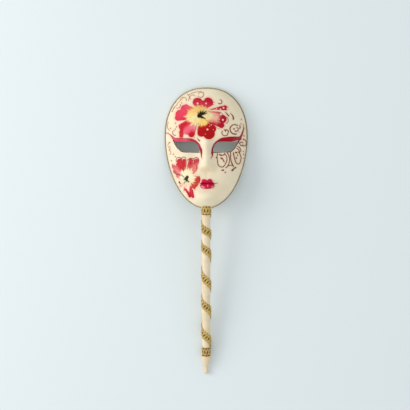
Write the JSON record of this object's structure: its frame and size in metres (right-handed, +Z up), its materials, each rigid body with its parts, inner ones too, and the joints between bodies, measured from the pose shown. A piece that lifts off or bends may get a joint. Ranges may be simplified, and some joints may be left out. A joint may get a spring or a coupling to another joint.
{
  "type": "handheld masquerade mask",
  "caption": "Hollow full-face masquerade mask with open eyes, painted flowers and a gold edge cord, on a turned stick wound with gold braid.",
  "frame": {"origin": "centre of the bounding box, at the level of the table that the mask lies on", "axes": "+Z up, out of the face; +Y from the stick's ball end towards the forehead; +X to the right of a viewer who looks at the face"},
  "size_m": [0.1594, 0.5486, 0.0703],
  "materials": {
    "painted_face": "ivory enamel on papier-mache, satin, with hand-painted flowers, curls, lids and lips",
    "gold_cord": "twisted metallic gold thread",
    "painted_stick": "ivory enamel on turned wood, satin",
    "gold_braid": "plaited gimp of metallic gold cords"
  },
  "bodies": {
    "root": {"mask_shell": "painted_face", "edge_cord": "gold_cord", "stick": "painted_stick", "top_collar_braid": "gold_braid", "spiral_braid": "gold_braid", "bottom_collar_braid": "gold_braid"}
  },
  "joints": []
}
